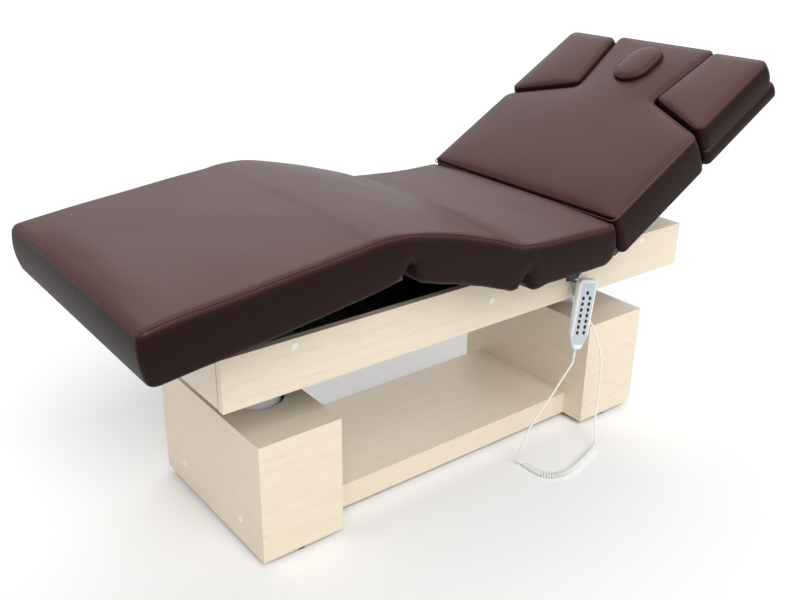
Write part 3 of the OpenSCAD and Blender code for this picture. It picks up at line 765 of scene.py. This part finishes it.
def arm(name, side, points, radii, n0, n1, crown, body, node, thick_side):
    outline = metres([(u, side * y) for u, y in points])
    if side < 0:
        outline, radii = outline[::-1], radii[::-1]
    outline = fillet(outline, metres(radii))
    v, faces, edge = pad(outline, n0 * MM, n1 * MM, 0.006, 0.012, outline.mean(0), crown * MM, thick_side)
    loop = on_back(np.concatenate([edge, edge[:1]]))
    shells = [(on_back(v), faces), tube(even(loop)[:-1], 0.0015, 6, closed=True)]
    obj = piece(name, shells, HIDE)
    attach(obj, body)
    if node:
        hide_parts(node)
    return obj


def arms():
    radii = [20, 20, 20, 22, 24]
    for side, word in ((-1, "near"), (1, "far")):
        arm("arm_base_" + word, side, side_block(784, 1), [16, 14, 14, 14, 14], SKIRT_N, 61.5, 0, "back",
            "arm_bases", 0.002)
        arm("arm_cushion_" + word, side, side_block(775, 3), radii, 62.5, ARM_N, 10, "arm_pad_" + word,
            "arm_pad_" + word, 0.004)


def plug():
    turn = np.linspace(0, 2 * np.pi, 144, endpoint=False)

    def oval(r):
        along_back = r * np.cos(turn) + 0.026 * np.tanh(np.cos(turn) * 4)
        return np.column_stack([along_back, r * np.sin(turn)]) + metres((FACE_U, 0))

    cap, faces, edge = pad(oval(0.061), 0.1375, 0.162, 0.006, 0.010, metres((FACE_U, 0)), 0.009, 0.001, 0.008)
    stem, stem_faces, _ = pad(oval(0.0565), 0.084, 0.1415, 0.004, 0.002, metres((FACE_U, 0)), 0, 0, 0.02)
    loop = on_back(np.concatenate([edge, edge[:1]]))
    obj = piece("face_plug_cushion", [(on_back(cap), faces), (on_back(stem), stem_faces),
                                      tube(even(loop)[:-1], 0.0013, 6, closed=True)], HIDE)
    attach(obj, "face_plug")
    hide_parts("face_plug")


# ---- small fittings ----
def disc(centre, axis, radius, proud):
    """A shallow domed cap: rings that shrink from the rim to the middle as they rise."""
    axis = np.asarray(axis, float)
    a = np.cross(axis, (0.3, 0.5, 0.8))
    a /= np.linalg.norm(a)
    b = np.cross(axis, a)
    turn = np.linspace(0, 2 * np.pi, 32, endpoint=False)
    ring = np.cos(turn)[:, None] * a + np.sin(turn)[:, None] * b
    rows = [centre + ring * radius * k + axis * proud * h
            for k, h in ((1, -1.0), (1, 0.4), (0.93, 0.85), (0.6, 1), (0.2, 1))]
    grid = np.arange(len(rows) * 32).reshape(len(rows), 32)
    wrap = np.concatenate([grid, grid[:, :1]], 1)
    return np.concatenate(rows), [quads(wrap, True), grid[:1], grid[-1:, ::-1]]


CAP_R, CAP_PROUD = 0.0095, 0.0016


def screw_caps():
    on_rail = [(-578, 581), (36, 539), (650, 580)]
    rail = [disc(bed(x, side * 270, z), (0, side, 0), CAP_R, CAP_PROUD)
            for x, z in on_rail for side in (-1, 1)]
    obj = piece("rail_caps", rail, CAP)
    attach(obj, "frame")
    ends = [disc(bed(side * 686, y, 82), (side, 0, 0), CAP_R, CAP_PROUD)
            for side in (-1, 1) for y in (-156, 156)]
    base = piece("plinth_caps", ends, CAP)
    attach(base, "base")


def block(x0, x1, y0, y1, z0, z1, r=0.0):
    """A box in mm with every edge rounded by r."""
    s, y, h = (lines(a, b, r, r, 6) for a, b in ((x0, x1), (y0, y1), (z0, z1)))
    p, faces, _ = rounded_block(s, y, h, ((r, r),) * 3)
    return p, faces


def handset():
    """The handset's shell with a round top, its ribbed boot, and the hook behind that it hangs on."""
    half, nose, foot = 29, 13, 46 - HANDSET_LEN
    points = [(-nose, -HANDSET_LEN), (nose, -HANDSET_LEN), (half, foot), (half, 0), (-half, 0), (-half, foot)]
    outline = fillet(metres(points), metres([6, 6, 24, 15, 15, 24]), 0.003)
    v, faces, _ = pad(outline, -0.023, 0.0, 0.007, 0.004, metres((0, -100)), step=0.008)
    body = np.column_stack([v[:, 0], -v[:, 2], v[:, 1]]) / MM
    z = np.linspace(2, -BOOT_LEN, 97)
    ribs = 4.7 - 1.2 * np.clip(-z / BOOT_LEN, 0, 1) + 0.9 * np.tanh(3 * np.cos(z * 2 * np.pi / 6))
    stem, stem_faces = tube(np.column_stack([0 * z, 0 * z + BOOT_Y, z - HANDSET_LEN]), ribs, 24, (0, 1, 0))
    turn = np.array(handset_turn())
    shells = [(body @ turn.T, faces), (stem @ turn.T, stem_faces)]
    shells += [block(-12, 12, 21, 26, -20, 25.3, 1.2), block(-12, 12, 22, 47, 22.3, 25.3, 1.2),
               block(-12, 12, 44, 47, 14, 25.3, 1.2)]
    shells = [(bed(*(v + np.array(HANDSET)).T).T, faces) for v, faces in shells]
    obj = piece("handset_body", shells, SHELL)
    v, faces = block(-20, 20, -4, 8, -ROW_0 - 7 * ROW_STEP, 24 - ROW_0)
    carve(obj, piece("pocket", [(bed(*(v @ turn.T + np.array(HANDSET)).T).T, faces)], SHELL))
    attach(obj, "handset")
    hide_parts("handset_shell")


def underside():
    """Dark sheet stretched under the frame between the side boards: it closes the frame from below, and its
    near-black colour is partly painted shade for the shaded space under the cushions.
    """
    low, high = bed(-636, -248, 469), bed(636, 248, 471)
    lines_x, lines_y = np.linspace(low[0], high[0], 60), np.linspace(low[1], high[1], 24)
    p, faces, _ = rounded_block(lines_x, lines_y, np.array([low[2], high[2]]), ((0, 0), (0, 0), (0, 0)))
    sag = np.sin((p[:, 0] - low[0]) / (high[0] - low[0]) * np.pi) * np.cos(p[:, 1] / high[1] * np.pi / 2)
    p[:, 2] -= 0.0015 * sag
    obj = piece("underside_sheet_and_shade", [(p, faces)], UNDERSIDE_BLACK_AND_SHADE)
    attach(obj, "frame")


# ---- stage ----
def stage():
    mesh = bpy.data.meshes.new("floor")
    mesh.from_pydata([(-30, -30, 0), (30, -30, 0), (30, 30, 0), (-30, 30, 0)], [], [(0, 1, 2, 3)])
    mesh.materials.append(Shader("floor", Base_Color=(0.97, 0.97, 0.97), Roughness=0.9).material)
    floor = bpy.data.objects.new("floor", mesh)
    bpy.context.scene.collection.objects.link(floor)
    world = bpy.data.worlds.new("studio")
    world.use_nodes = True
    world.node_tree.nodes["Background"].inputs[0].default_value = (1, 1, 1, 1)
    world.node_tree.nodes["Background"].inputs[1].default_value = 0.50
    bpy.context.scene.world = world
    bpy.context.scene.view_settings.view_transform = "Standard"

    def sun(name, toward, softness, power):
        data = bpy.data.lights.new(name, "SUN")
        data.angle, data.energy = math.radians(softness), power
        obj = bpy.data.objects.new(name, data)
        obj.rotation_mode = "QUATERNION"
        obj.rotation_quaternion = Vector(toward).to_track_quat("-Z", "Y")
        bpy.context.scene.collection.objects.link(obj)

    sun("key", (0.25, 0.80, -0.90), 45, 1.9)
    sun("back", (-0.50, -0.70, -0.80), 60, 0.9)


camera()
cord()
dress_frame()
leg_and_seat()
back_cushion()
arms()
plug()
screw_caps()
handset()
underside()
stage()
